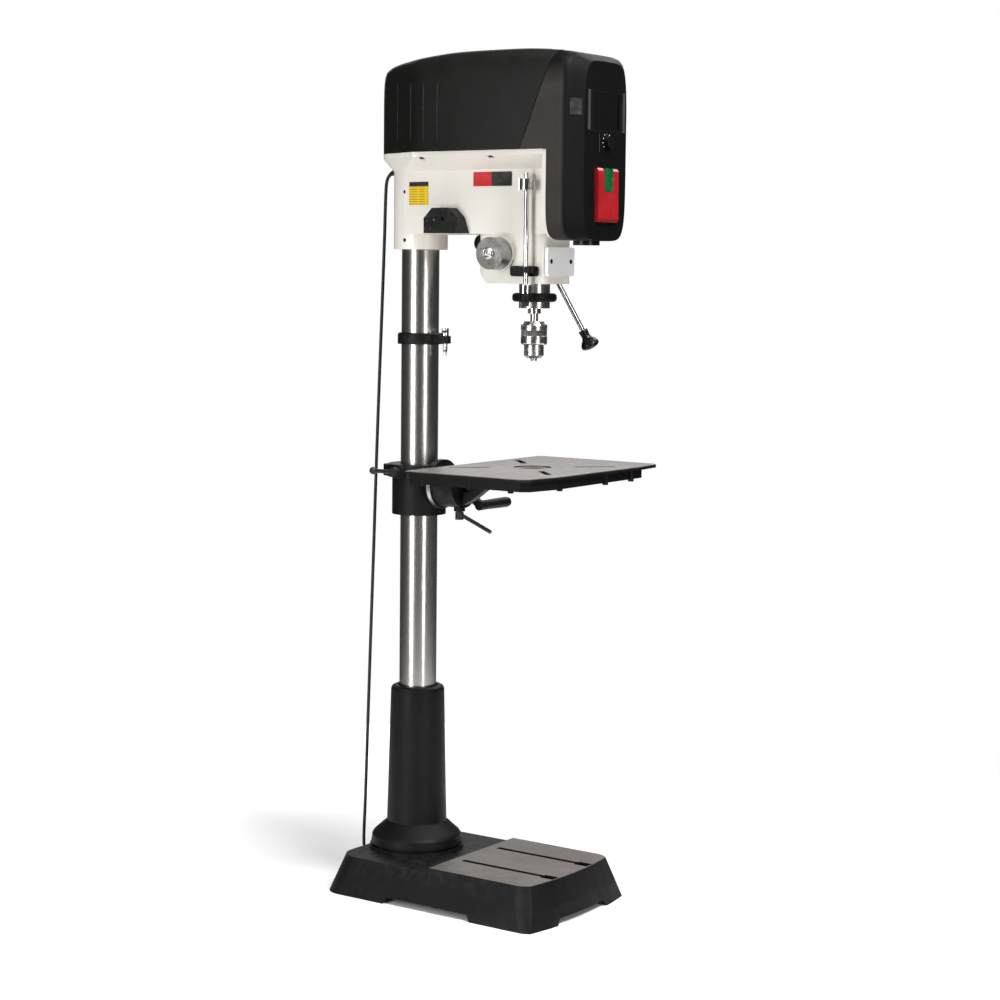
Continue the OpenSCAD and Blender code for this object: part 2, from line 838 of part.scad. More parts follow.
// Cup that houses the return spring
module spring_cap() {
    color("#8a8b8c") at_col() translate([-99, feed_y, feed_z]) rotate([0, 90, 0]) {
        difference() {
            cylinder(h = 32.9, r = 33);
            translate([0, 0, 3]) cylinder(h = 40, r = 30);
            translate([0, 0, -1]) cylinder(h = 10, r = 9.3);
        }
    }
}

function spiral(r0, r1, turns, n) = [for (i = [0:n]) let (
    a = 360 * turns * i / n, r = r0 + (r1 - r0) * i / n) [r * cos(a), r * sin(a)]];

// Flat spiral spring that lifts the quill
module return_spring() {
    color("#4d5157") at_col() translate([-92, feed_y, feed_z]) rotate([0, 90, 0]) {
        linear_extrude(18) polygon(concat(
            spiral(12.6, 28, 4, 72),
            [for (i = [72:-1:0]) spiral(11.6, 27, 4, 72)[i]]
        ));
    }
}

// Nut on the end of the feed shaft
module cap_nut() {
    color("#b4b4b4") at_col() difference() {
        translate([-107, feed_y, feed_z]) rotate([0, 90, 0]) cylinder(h = 7.6, r = 10, $fn = 6);
        rod_x(-110, -98, 6.03, feed_y, feed_z);
    }
}

// Feed shaft with its pinion
module feed_shaft() {
    color("#9a9a98") at_col() {
        rod_x(-109, -99, 6, feed_y, feed_z);
        rod_x(-99.2, -9, 9, feed_y, feed_z);
        translate([-9, feed_y, feed_z]) rotate([0, 90, 0]) linear_extrude(18) {
            rotate([0, 0, 90 + 180 / feed_teeth]) gear2d(gear_m, feed_teeth, 0.12);
        }
        rod_x(8.9, 20.1, 9, feed_y, feed_z);
        rod_x(20, 80.3, 18.5, feed_y, feed_z);
        rod_x(80, 112, 9, feed_y, feed_z);
    }
}

// Places its children on one handle's own axis, along +Z from the hub
module on_handle(k) {
    translate([98, feed_y, feed_z]) rotate([-handle_phase - 120 * k, 0, 0]) {
        rotate([0, 180 - 17, 0]) children();
    }
}

// Hub with three sockets for the handles
module feed_hub() {
    color("#3a3a3c") at_col() difference() {
        union() {
            rod_x(80.6, 114, 24, feed_y, feed_z);
            for (k = [0:2]) on_handle(k) cylinder(h = 38, r = 10);
        }
        rod_x(70, 112.2, 9.03, feed_y, feed_z);
        for (k = [0:2]) on_handle(k) translate([0, 0, 16]) cylinder(h = 40, r = handle_d / 2 + 0.03);
    }
}

module handle_rods() {
    color("#c4c4c4") at_col() for (k = [0:2]) on_handle(k) {
        translate([0, 0, 16.2]) cylinder(h = handle_r - 42, r = handle_d / 2);
    }
}

module handle_knobs() {
    color("#111112") at_col() for (k = [0:2]) on_handle(k) {
        translate([0, 0, handle_r - 28]) difference() {
            rotate_extrude() polygon([
                [0, 0], [9.5, 0], [10, 2], [9, 14], [10.5, 19], [15, 24], [19, 30],
                [19.8, 34], [19, 37.5], [15, 40.5], [8, 42.4], [0, 43]
            ]);
            translate([0, 0, -1]) cylinder(h = 20, r = handle_d / 2 + 0.03);
        }
    }
}

// Quill with the rack cut in its back
module quill() {
    p = PI * gear_m;
    color("#8e8d8a") at_col() difference() {
        translate([0, sp_y, quill_bot]) ring(quill_top - quill_bot, quill_r, 16);
        translate([0, sp_y, quill_bot - 1]) cylinder(h = 17, r = 23.55);
        translate([0, sp_y, quill_top - 16]) cylinder(h = 17, r = 23.55);
        // flat and tooth gaps of the rack
        translate([-10, sp_y + 30.8, feed_z - 14]) cube([20, 10, 200]);
        across_x(-10, 10) intersection() {
            translate([sp_y, feed_z - 13]) square([60, 200]);
            difference() {
                translate([sp_y + 26.4, feed_z - 20]) square([20, 200]);
                translate([sp_y + 29, feed_z - 4 * p]) rack2d(gear_m, 34, 0.12, 4);
            }
        }
    }
}

// Ball bearings at both ends of the quill
module quill_bearings() {
    color("#c8c8c6") at_col() for (z = [quill_bot + 3, quill_top - 15.9]) {
        translate([0, sp_y, z]) ring(12, 23.5, 12.55);
    }
}

// Clamp collar on the quill, with the arm that carries the depth rod
module quill_collar() {
    a = atan2(depth_y - sp_y, depth_x);
    l = norm([depth_x, depth_y - sp_y]);
    color("#19191a") at_col() translate([0, sp_y, 0]) difference() {
        union() {
            translate([0, 0, 1272]) cylinder(h = 18, r = 46);
            rotate([0, 0, a]) translate([30, -12, 1274]) cube([l - 30, 24, 14]);
            rotate([0, 0, a]) translate([l, 0, 1272]) cylinder(h = 18, r = 13);
        }
        translate([0, 0, 1260]) cylinder(h = 50, r = quill_r + 0.05);
        rotate([0, 0, a]) translate([l, 0, 1260]) cylinder(h = 50, r = depth_d / 2 + 0.05);
    }
}

// Depth rod with its fixed nuts
module depth_rod() {
    color("#d0d0d0") at_col() translate([depth_x, depth_y, 0]) {
        translate([0, 0, 1264]) cylinder(h = 268, r = depth_d / 2);
        translate([0, 0, 1290.1]) cylinder(h = 17, r = 13);
        translate([0, 0, 1264]) cylinder(h = 7.9, r = 8, $fn = 6);
    }
}

// Knurled stop nut on the depth rod
module depth_nut() {
    color("#dadada") at_col() translate([depth_x, depth_y, 1496]) difference() {
        cylinder(h = 24, r = 16.5);
        translate([0, 0, -1]) cylinder(h = 30, r = depth_d / 2 + 0.06);
    }
}

// Stop and pointer bracket that the depth rod runs through
module depth_bracket() {
    color("#161617") at_col() difference() {
        union() {
            across_x(-64, -58.1) rrect(-343, 1324, -276, 1345, 6);
            translate([-80, -340, 1331]) cube([20, 28, 13]);
            translate([depth_x, depth_y, 1331]) cylinder(h = 13, r = 12);
        }
        translate([depth_x, depth_y, 1320]) cylinder(h = 40, r = depth_d / 2 + 0.3);
    }
}

// ---- spindle and chuck ----

// Spindle with its splined upper end
module spindle() {
    color("#b0b0ae") at_col() translate([0, sp_y, 0]) {
        translate([0, 0, 1258.5]) cylinder(h = 273, r = 12.5);
        translate([0, 0, 1248]) cylinder(h = 10.8, r = 13.5);
        translate([0, 0, 1531]) cylinder(h = 204, r = 10);
        translate([0, 0, 1218]) cylinder(h = 30.5, r = 8);
    }
}

// Places its children on a jaw's own axis, +Z up along the jaw
module on_jaw(a) {
    translate([0, sp_y, 1151]) rotate([0, 0, a]) translate([3, 0, 0]) rotate([0, jaw_slope, 0]) children();
}

// Body of the keyed chuck, bored for its three jaws
module chuck_body() {
    color("#9b9b9b") at_col() difference() {
        translate([0, sp_y, 0]) union() {
            translate([0, 0, 1226]) cylinder(h = 6, r1 = 23, r2 = 20);
            translate([0, 0, 1186]) cylinder(h = 40.05, r = 22);
            translate([0, 0, 1162]) cylinder(h = 24.05, r = 20.5);
            translate([0, 0, 1156]) cylinder(h = 6.05, r1 = 13.5, r2 = 20.5);
        }
        translate([0, sp_y, 1217.9]) cylinder(h = 20, r = 8.03);
        translate([0, sp_y, 1150]) cylinder(h = 52, r = 6.8);
        for (a = JAW_TURNS) on_jaw(a) translate([0, 0, -5]) cylinder(h = 70, r = 3.56);
    }
}

// One sloping jaw, its inner face a 120 degree wedge
module jaw(a) {
    color("#8c8c8e") at_col() intersection() {
        on_jaw(a) cylinder(h = jaw_len, r = 3.5);
        translate([0, sp_y, 1140]) rotate([0, 0, a]) linear_extrude(80) {
            polygon([[0.3, 0], [20.3, -34.6], [60, 0], [20.3, 34.6]]);
        }
    }
}

module jaw_1() {
    jaw(JAW_TURNS[0]);
}

module jaw_2() {
    jaw(JAW_TURNS[1]);
}

module jaw_3() {
    jaw(JAW_TURNS[2]);
}

// Toothed outer sleeve of the chuck
module chuck_sleeve() {
    color("#aeaeae") at_col() translate([0, sp_y, 0]) difference() {
        union() {
            translate([0, 0, 1190]) cylinder(h = 31, r = chuck_d / 2 - 1);
            translate([0, 0, 1220.9]) cylinder(h = 4.8, r1 = chuck_d / 2 - 1, r2 = 22.6);
            translate([0, 0, 1200]) cylinder(h = 12, r = chuck_d / 2);
            translate([0, 0, 1184]) cylinder(h = 6.05, r1 = 24.5, r2 = chuck_d / 2 - 1);
        }
        translate([0, 0, 1170]) cylinder(h = 60, r = 22.06);
        for (a = [0:15:345]) rotate([0, 0, a]) {
            translate([chuck_d / 2, 0, 1184]) rotate([0, 35, 0]) cube([8, 3, 12], center = true);
        }
    }
}

// ---- cord ----

// Strain relief where the cord leaves the head
module cord_gland() {
    color("#141415") at_col() translate(gland_tip) rotate([-110, 0, 0]) {
        translate([0, 0, -40]) cylinder(h = 24, r = 6.1);
        translate([0, 0, -16]) cylinder(h = 3, r = 9.5);
        translate([0, 0, -16]) cylinder(h = 16, r1 = 7, r2 = 4.6);
    }
}

function unit(v) = v / norm(v);
function smooth(i, t) = let (
    n = len(CORD) - 1, a = CORD[max(0, i - 1)], b = CORD[i], c = CORD[min(n, i + 1)],
    d = CORD[min(n, i + 2)]) 0.5 * ((2 * b) + (c - a) * t
    + (2 * a - 5 * b + 4 * c - d) * t * t + (3 * b - a - 3 * c + d) * t * t * t);

// Supply cord from the strain relief down to the coil
module power_cord() {
    n = len(CORD) - 1;
    path = [for (i = [0:n - 1]) for (k = [0:3]) smooth(i, k / 4), CORD[n]];
    m = len(path);
    s = 10;
    pts = [for (i = [0:m - 1]) each let (
        t = unit(path[min(m - 1, i + 1)] - path[max(0, i - 1)]),
        u = unit(cross(t, [1, -1, 0])), v = cross(t, u))
        [for (k = [0:s - 1]) path[i] + cord_d / 2
            * (cos(360 * k / s) * u + sin(360 * k / s) * v)]];
    sides = [for (i = [0:m - 2]) for (k = [0:s - 1])
        [i * s + k, (i + 1) * s + k, (i + 1) * s + (k + 1) % s, i * s + (k + 1) % s]];
    ends = [[for (k = [0:s - 1]) k], [for (k = [s - 1:-1:0]) (m - 1) * s + k]];
    color("#101011") at_col() polyhedron(pts, concat(sides, ends));
}

// Rest of the cord, coiled on the floor behind the base
module cord_coil() {
    color("#121213") at_col() translate([coil_x, coil_y, 0]) rotate_extrude() {
        translate([coil_r - cord_d, 0]) square([2 * cord_d, 2 * cord_d]);
    }
}

// Moulded mains plug with its strain relief, lying beside the coil
module plug() {
    color("#161617") at_col() translate([122, 129, 13]) rotate([0, 90, 0]) {
        translate([2, 0, -22]) cylinder(h = 23, r1 = 4.5, r2 = 7);
        cylinder(h = 38, r = 13);
        for (y = [-6, 6]) translate([-3.5, y - 0.8, 37]) cube([7, 1.6, 18]);
    }
}

base_casting();
column_foot();
foot_bolts();
column_tube();
rack_collar();
set_screws();
chuck_key();
rack();
table_bracket();
column_lock();
worm_wheel();
worm_shaft();
crank_arm();
crank_grip();
tilt_scale();
tilt_bolt();
tilt_lock();
table_arm();
table_top();
head_casting();
cap_screws();
motor_stator();
motor_rotor();
cover_rear();
cover_front();
cover_latch();
control_panel();
display_glass();
speed_dial();
switch_housing();
start_button();
stop_paddle();
work_lamp();
front_plate();
tool_holder();
hex_keys();
name_plate();
spring_cap();
return_spring();
cap_nut();
feed_shaft();
feed_hub();
handle_rods();
handle_knobs();
quill();
quill_bearings();
quill_collar();
depth_rod();
depth_nut();
depth_bracket();
spindle();
chuck_body();
chuck_sleeve();
jaw_1();
jaw_2();
jaw_3();
cord_gland();
power_cord();
cord_coil();
plug();
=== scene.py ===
import bpy
import bmesh
import json
import math
from mathutils import Matrix, Vector

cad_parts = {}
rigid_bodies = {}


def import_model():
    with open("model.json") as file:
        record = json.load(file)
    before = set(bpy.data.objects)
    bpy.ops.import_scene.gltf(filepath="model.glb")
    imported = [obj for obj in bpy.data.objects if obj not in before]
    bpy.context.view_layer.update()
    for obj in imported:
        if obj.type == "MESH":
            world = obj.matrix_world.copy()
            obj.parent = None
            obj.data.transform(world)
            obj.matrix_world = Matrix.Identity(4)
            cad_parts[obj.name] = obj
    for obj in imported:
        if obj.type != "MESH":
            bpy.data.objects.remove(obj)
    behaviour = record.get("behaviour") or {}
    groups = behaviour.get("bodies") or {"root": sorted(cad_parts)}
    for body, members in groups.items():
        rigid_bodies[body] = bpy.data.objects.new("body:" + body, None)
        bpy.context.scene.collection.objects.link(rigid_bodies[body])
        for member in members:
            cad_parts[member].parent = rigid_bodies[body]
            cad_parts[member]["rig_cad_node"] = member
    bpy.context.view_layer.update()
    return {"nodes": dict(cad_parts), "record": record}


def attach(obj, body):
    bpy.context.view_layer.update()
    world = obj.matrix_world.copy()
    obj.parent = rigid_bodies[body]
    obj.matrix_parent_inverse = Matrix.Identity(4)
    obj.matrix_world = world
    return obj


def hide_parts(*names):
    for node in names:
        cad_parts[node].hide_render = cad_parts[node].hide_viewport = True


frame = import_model()
nodes = frame["nodes"]

# places in metres, in the row's frame
MM = 0.001
COL_Y = 0.161                       # column axis, behind the row's origin
SP_Y = COL_Y - 0.294                # spindle axis
PAD_TOP = 0.0884                    # ground pad of the base begins here
TABLE_TOP = 0.9288                  # ground face of the table begins here
TABLE_HOLE_R = 0.041                # ground ring round the table's hole
KNURL = (1.2020, 1.2143)            # toothed band of the chuck
NOSE_EDGE = (COL_Y - 0.436, COL_Y - 0.428)  # where the cover's flat sides turn into its nose
WALL = 0.0035                       # cover wall
SEAM_GAP = 0.0008                   # each cover stops this far short of their joint

# places in millimetres from the column's axis
SPINDLE_Y = -294
ROD_X, ROD_Y = -80, -326            # depth rod
FEED_Y, FEED_Z = -249, 1370         # feed shaft
CLAMP_Z = 1272                      # underside of the quill clamp
QUILL_R = 32.1                      # bore of the quill clamp


def mm(x, y, z):
    """A point given in the column's own millimetres."""
    return Vector((x * MM, y * MM + COL_Y, z * MM))


# ---------------------------------------------------------------- camera
CAM_POS = Vector((-3.8126, -2.7116, 1.3378))
YAW, PITCH, ROLL = math.radians(55.1), math.radians(-5.92), math.radians(0.62)
forward = Vector((math.sin(YAW) * math.cos(PITCH), math.cos(YAW) * math.cos(PITCH), math.sin(PITCH)))
right = forward.cross(Vector((0, 0, 1))).normalized()
up = right.cross(forward)
cam_x = math.cos(ROLL) * right + math.sin(ROLL) * up
cam_y = -math.sin(ROLL) * right + math.cos(ROLL) * up
cam_data = bpy.data.cameras.new("camera")
cam_data.lens = 80.08
cam_data.sensor_width = 36
cam = bpy.data.objects.new("camera", cam_data)
bpy.context.scene.collection.objects.link(cam)
cam.matrix_world = Matrix((
    (cam_x.x, cam_y.x, -forward.x, CAM_POS.x),
    (cam_x.y, cam_y.y, -forward.y, CAM_POS.y),
    (cam_x.z, cam_y.z, -forward.z, CAM_POS.z),
    (0, 0, 0, 1)))
bpy.context.scene.camera = cam


# ---------------------------------------------------------------- node helpers
class Shader:
    """One material being built: short calls for the nodes that it needs."""

    def __init__(self, name):
        self.mat = bpy.data.materials.new(name)
        self.mat.use_nodes = True
        self.tree = self.mat.node_tree
        self.bsdf = self.tree.nodes["Principled BSDF"]
        self.coord = self.new("ShaderNodeTexCoord").outputs["Object"]

    def new(self, kind, **props):
        n = self.tree.nodes.new(kind)
        for k, v in props.items():
            setattr(n, k, v)
        return n

    def link(self, a, b):
        self.tree.links.new(a, b)

    def scaled(self, scale):
        n = self.new("ShaderNodeMapping")
        n.inputs["Scale"].default_value = scale
        self.link(self.coord, n.inputs["Vector"])
        return n.outputs["Vector"]

    def noise(self, scale, detail=4, rough=0.55, stretch=None):
        n = self.new("ShaderNodeTexNoise")
        n.inputs["Scale"].default_value = scale
        n.inputs["Detail"].default_value = detail
        n.inputs["Roughness"].default_value = rough
        self.link(self.scaled(stretch) if stretch else self.coord, n.inputs["Vector"])
        return n.outputs["Fac"]

    def cells(self, scale):
        n = self.new("ShaderNodeTexVoronoi")
        n.inputs["Scale"].default_value = scale
        self.link(self.coord, n.inputs["Vector"])
        return n.outputs["Distance"]

    def ramp(self, fac, stops):
        n = self.new("ShaderNodeValToRGB")
        self.link(fac, n.inputs["Fac"])
        els = n.color_ramp.elements
        while len(els) < len(stops):
            els.new(0.5)
        for e, (p, c) in zip(els, stops):
            e.position = p
            e.color = (*c, 1) if isinstance(c, (tuple, list)) else (c, c, c, 1)
        return n.outputs["Color"]

    def span(self, fac, low, high, start=0.3, end=0.7):
        n = self.new("ShaderNodeMapRange")
        for k, v in (("From Min", start), ("From Max", end), ("To Min", low), ("To Max", high)):
            n.inputs[k].default_value = v
        self.link(fac, n.inputs["Value"])
        return n.outputs["Result"]

    def mix(self, fac, a, b):
        n = self.new("ShaderNodeMix", data_type="RGBA")
        for sock, v in ((n.inputs["Factor"], fac), (n.inputs["A"], a), (n.inputs["B"], b)):
            if isinstance(v, bpy.types.NodeSocket):
                self.link(v, sock)
            elif isinstance(v, (tuple, list)):
                sock.default_value = (*v, 1)
            else:
                sock.default_value = v
        for s in n.outputs:
            if s.type == "RGBA":
                return s

    def math(self, op, a, b=0.5):
        n = self.new("ShaderNodeMath", operation=op)
        for sock, v in zip(n.inputs, (a, b)):
            if isinstance(v, bpy.types.NodeSocket):
                self.link(v, sock)
            else:
                sock.default_value = v
        return n.outputs["Value"]

    def edges(self, low=0.5, high=0.56):
        g = self.new("ShaderNodeNewGeometry").outputs["Pointiness"]
        return self.span(g, 0.0, 1.0, low, high)

    def axis(self, which):
        n = self.new("ShaderNodeSeparateXYZ")
        self.link(self.coord, n.inputs["Vector"])
        return n.outputs[which]

    def bumps(self, *pairs):
        """Bump from (height, strength, distance) triples, one on the other."""
        last = None
        for height, strength, distance in pairs:
            n = self.new("ShaderNodeBump")
            n.inputs["Strength"].default_value = strength
            n.inputs["Distance"].default_value = distance
            self.link(height, n.inputs["Height"])
            if last is not None:
                self.link(last, n.inputs["Normal"])
            last = n.outputs["Normal"]
        self.link(last, self.bsdf.inputs["Normal"])

    def set(self, **sockets):
        names = dict(color="Base Color", rough="Roughness", metal="Metallic", coat="Coat Weight",
                     coat_rough="Coat Roughness", spec="Specular IOR Level", emit="Emission Color",
                     power="Emission Strength")
        for k, v in sockets.items():
            sock = self.bsdf.inputs[names[k]]
            if isinstance(v, bpy.types.NodeSocket):
                self.link(v, sock)
            elif isinstance(v, (tuple, list)):
                sock.default_value = (*v, 1)
            else:
                sock.default_value = v
        return self


BLACK_PAINT = ((0.0027, 0.0027, 0.0029), (0.0048, 0.0047, 0.0047))
IRON = ((0.115, 0.100, 0.092), (0.175, 0.156, 0.146))


def cast_black(name="black_casting", iron_above=None, iron_axis=(1, 10, 1), iron_rough=0.44, hole=None):
    """Textured black paint on cast iron, ground bare above one height."""
    s = Shader(name)
    body = s.ramp(s.noise(14, 5), [(0.3, BLACK_PAINT[0]), (0.7, BLACK_PAINT[1])])
    # Sharp edges are painted paler wherever the noise lets them through. This is partly worn paint and
    # partly a painted highlight along the edges.
    wear_and_edge_highlight = s.math("MULTIPLY", s.edges(0.54, 0.63), s.span(s.noise(60), 0.0, 1.0, 0.4, 0.65))
    color = s.mix(s.math("MULTIPLY", wear_and_edge_highlight, 0.3), body, (0.045, 0.043, 0.042))
    rough = s.span(s.noise(45), 0.45, 0.54)
    grain = s.noise(230, 4)
    if iron_above is not None:
        bare = s.span(s.axis("Z"), 0.0, 1.0, iron_above - 0.0002, iron_above)
        if hole:
            away = s.new("ShaderNodeVectorMath", operation="DISTANCE")
            flat = s.new("ShaderNodeVectorMath", operation="MULTIPLY")
            flat.inputs[1].default_value = (1, 1, 0)
            away.inputs[1].default_value = (hole[0], hole[1], 0)
            s.link(s.coord, flat.inputs[0])
            s.link(flat.outputs["Vector"], away.inputs[0])
            inside = s.span(away.outputs["Value"], 1.0, 0.0, hole[2], hole[2] + 0.0002)
            bare = s.math("MAXIMUM", bare, inside)
        marks = s.noise(55, 5, 0.65, iron_axis)
        cloud = s.span(s.noise(9, 5), 0.0, 0.45, 0.45, 0.75)
        iron = s.mix(cloud, s.ramp(marks, [(0.25, IRON[0]), (0.75, IRON[1])]), (0.085, 0.072, 0.064))
        color = s.mix(bare, color, iron)
        rough = s.mix(bare, rough, s.span(s.noise(30), iron_rough - 0.05, iron_rough + 0.08))
        s.set(metal=s.math("MULTIPLY", bare, 0.65))
        grain = s.mix(bare, grain, marks)
    s.set(color=color, rough=rough, spec=0.13)
    s.bumps((grain, 0.20, 0.0005), (s.noise(70, 4), 0.12, 0.0010))
    return s.mat


def paint_cream(name="cream_paint", lo=(0.70, 0.665, 0.61), hi=(0.75, 0.715, 0.66)):
    s = Shader(name)
    body = s.ramp(s.noise(5, 4), [(0.3, lo), (0.7, hi)])
    dust = s.span(s.noise(28, 6), 0.0, 0.12, 0.55, 0.75)
    s.set(color=s.mix(dust, body, (0.58, 0.545, 0.49)), rough=s.span(s.noise(30), 0.30, 0.42),
          coat=0.2, coat_rough=0.2)
    s.bumps((s.noise(26, 3), 0.08, 0.0016), (s.noise(420, 2), 0.10, 0.00025))
    return s.mat


def turned(name, lo, hi, rough, stretch, scale=60, metal=1.0, mark=0.08, vary=0.055):
    """Ground or turned steel: the marks run across the axis with the large stretch."""
    s = Shader(name)
    lines = s.noise(scale, 4, 0.6, stretch)
    cloud = s.noise(7, 4)
    tone = s.ramp(lines, [(0.25, lo), (0.75, hi)])
    stain = s.span(cloud, 0.0, 0.25, 0.5, 0.8)
    s.set(color=s.mix(stain, tone, tuple(c * 0.8 for c in lo)), metal=metal,
          rough=s.span(s.noise(scale * 0.7, 4, 0.6, stretch), rough - vary, rough + vary))
    s.bumps((lines, mark, 0.00012))
    return s.mat


def plastic(name, lo, hi, rough, grain=700, strength=0.18, spec=0.35, coat=0.0, scuff_and_highlight=(0.05, 0.05, 0.05)):
    s = Shader(name)
    body = s.ramp(s.noise(16, 3), [(0.35, lo), (0.65, hi)])
    # Sharp edges are painted with a paler colour wherever the noise lets them through. This is partly scuffs
    # and partly a painted highlight along the edges.
    marks = s.math("MULTIPLY", s.edges(0.545, 0.63), s.span(s.noise(70), 0.0, 0.5, 0.45, 0.65))
    s.set(color=s.mix(marks, body, scuff_and_highlight), rough=s.span(s.noise(24, 5), rough - 0.04, rough + 0.05),
          spec=spec, coat=coat, coat_rough=0.12)
    s.bumps((s.cells(grain), strength, 0.0003), (s.noise(grain * 1.7, 2), strength * 0.7, 0.0002))
    return s.mat


def polished(name, color, rough):
    s = Shader(name)
    s.set(color=s.ramp(s.noise(18, 4), [(0.3, tuple(c * 0.92 for c in color)), (0.7, color)]), metal=1.0,
          rough=s.span(s.noise(90, 4), rough * 0.7, rough * 1.6))
    s.bumps((s.noise(55, 3), 0.03, 0.0004), (s.noise(900, 2), 0.02, 0.0001))
    return s.mat


def printed(name, ground, other, which, edge, lines=None):
    """A printed film: one colour on each side of an edge, with thin rules of the other colour."""
    s = Shader(name)
    side = s.span(s.axis(which), 0.0, 1.0, edge - 0.0002, edge + 0.0002)
    if lines:
        wave = s.new("ShaderNodeTexWave", wave_type="BANDS", bands_direction="Z")
        wave.inputs["Scale"].default_value = lines
        wave.inputs["Distortion"].default_value = 0
        s.link(s.coord, wave.inputs["Vector"])
        rules = s.math("MULTIPLY", s.math("GREATER_THAN", wave.outputs["Fac"], 0.86),
                       s.span(s.noise(160, 1, 0.5, (1, 1, 0.02)), 0.0, 0.8, 0.42, 0.46))
        side = s.math("MAXIMUM", side, rules)
    fade = s.span(s.noise(50, 4), 0.0, 0.12, 0.4, 0.8)
    s.set(color=s.mix(fade, s.mix(side, ground, other), (0.35, 0.33, 0.30)),
          rough=s.span(s.noise(30), 0.28, 0.4), spec=0.4)
    s.bumps((s.noise(300, 2), 0.03, 0.0002))
    return s.mat


def front_plastic():
    """Cover plastic, given a paler colour on the flat sides behind the rounded nose as a painted sheen, so
    the nose and top look shaded beside them.
    """
    s = Shader("front_cover_plastic")
    # Mask of the painted sheen: the flat sides below the rounded top.
    flat = s.math("MULTIPLY", s.span(s.axis("Y"), 0.0, 1.0, *NOSE_EDGE),
                  s.span(s.axis("Z"), 1.0, 0.0, 1.700, 1.748))
    painted_sheen = s.ramp(s.noise(11, 4), [(0.3, (0.026, 0.0235, 0.0215)), (0.7, (0.034, 0.0305, 0.028))])
    body = s.mix(flat, (0.0034, 0.0032, 0.0032), painted_sheen)
    s.set(color=body, rough=s.span(s.noise(24, 5), 0.44, 0.54), spec=0.06)
    s.bumps((s.cells(620), 0.2, 0.0003), (s.noise(1000, 2), 0.14, 0.0002))
    return s.mat


def pitted(name, lo, hi, rough):
    """Zinc plated stamping with fine dark pits."""
    s = Shader(name)
    pits = s.span(s.noise(330, 3, 0.7), 0.0, 0.8, 0.52, 0.66)
    body = s.ramp(s.noise(24, 4), [(0.3, lo), (0.7, hi)])
    s.set(color=s.mix(pits, body, (0.07, 0.068, 0.064)), metal=0.9,
          rough=s.span(s.noise(60), rough, rough + 0.14))
    s.bumps((pits, 0.12, 0.0003), (s.noise(40, 3), 0.05, 0.0006))
    return s.mat


def knurled(name):
    """Polished steel with the toothed band round the chuck painted dark as shade in its grooves."""
    s = Shader(name)
    place = s.new("ShaderNodeSeparateXYZ")
    s.link(s.coord, place.inputs[0])
    around = s.math("ARCTAN2", place.outputs["X"], s.math("SUBTRACT", place.outputs["Y"], SP_Y))
    teeth = s.math("SINE", s.math("MULTIPLY", around, 44.0), 0.0)
    band = s.math("MULTIPLY", s.span(place.outputs["Z"], 0.0, 1.0, KNURL[0], KNURL[0] + 0.0008),
                  s.span(place.outputs["Z"], 1.0, 0.0, KNURL[1] - 0.0008, KNURL[1]))
    # Painted shade over the toothed band, a little deeper in step with the teeth.
    painted_groove_shade = s.math("MULTIPLY", band, s.span(teeth, 0.82, 1.0, -0.4, 0.4))
    s.set(color=s.mix(painted_groove_shade, (0.62, 0.61, 0.60), (0.028, 0.027, 0.026)),
          metal=s.span(band, 1.0, 0.6, 0.0, 1.0),
          rough=s.math("ADD", s.math("MULTIPLY", band, 0.25), s.span(s.noise(90, 4), 0.20, 0.28)))
    s.bumps((s.math("MULTIPLY", band, teeth), 0.5, 0.0008), (s.noise(900, 2), 0.02, 0.0001))
    return s.mat


M = {
    "black_casting": cast_black(),
    "cream_paint": paint_cream(),
    "ground_iron": turned("ground_iron", *IRON, 0.44, (1, 14, 1), 40, 0.7),
    "ground_steel": turned("ground_steel", (0.46, 0.44, 0.42), (0.53, 0.51, 0.49), 0.26, (1, 1, 3), 130,
                           1.0, 0.0006, 0.008),
    "bright_steel": turned("bright_steel", (0.45, 0.44, 0.43), (0.62, 0.61, 0.60), 0.22, (1, 1, 12), 60),
    "dark_steel": turned("dark_steel", (0.10, 0.10, 0.102), (0.20, 0.20, 0.203), 0.36, (6, 1, 1), 90),
    "black_steel": turned("black_steel", (0.014, 0.014, 0.015), (0.032, 0.032, 0.034), 0.40, (1, 1, 4),
                          70, 0.6),
    "chrome": polished("chrome", (0.66, 0.65, 0.64), 0.14),
    "aluminium": turned("aluminium", (0.34, 0.34, 0.345), (0.50, 0.50, 0.51), 0.34, (4, 1, 1), 80),
    "black_plastic": plastic("black_plastic", (0.0054, 0.0051, 0.0048), (0.0070, 0.0066, 0.0062), 0.46,
                             620, 0.22, 0.17, scuff_and_highlight=(0.03, 0.03, 0.03)),
    "gloss_black": plastic("gloss_black", (0.0030, 0.0030, 0.0032), (0.0045, 0.0045, 0.0047), 0.26,
                           1200, 0.04, 0.25, scuff_and_highlight=(0.012, 0.012, 0.012)),
    "display": plastic("display", (0.001, 0.001, 0.0012), (0.002, 0.002, 0.0025), 0.10, 300, 0.01, 0.4),
    "red_plastic": plastic("red_plastic", (0.21, 0.006, 0.009), (0.26, 0.008, 0.011), 0.30,
                           900, 0.05, 0.35, 0.06, (0.30, 0.03, 0.03)),
    "green_plastic": plastic("green_plastic", (0.001, 0.052, 0.014), (0.001, 0.070, 0.020), 0.30,
                             900, 0.05, 0.25, 0.03, (0.01, 0.12, 0.04)),
    "yellow_label": printed("yellow_label", (0.74, 0.50, 0.012), (0.012, 0.012, 0.012), "Z", 1.509, 62),
    "satin_grey": plastic("satin_grey", (0.030, 0.029, 0.029), (0.042, 0.041, 0.041), 0.34, 900, 0.06),
    "rubber": plastic("rubber", (0.006, 0.006, 0.006), (0.010, 0.010, 0.010), 0.46, 1500, 0.10),
}

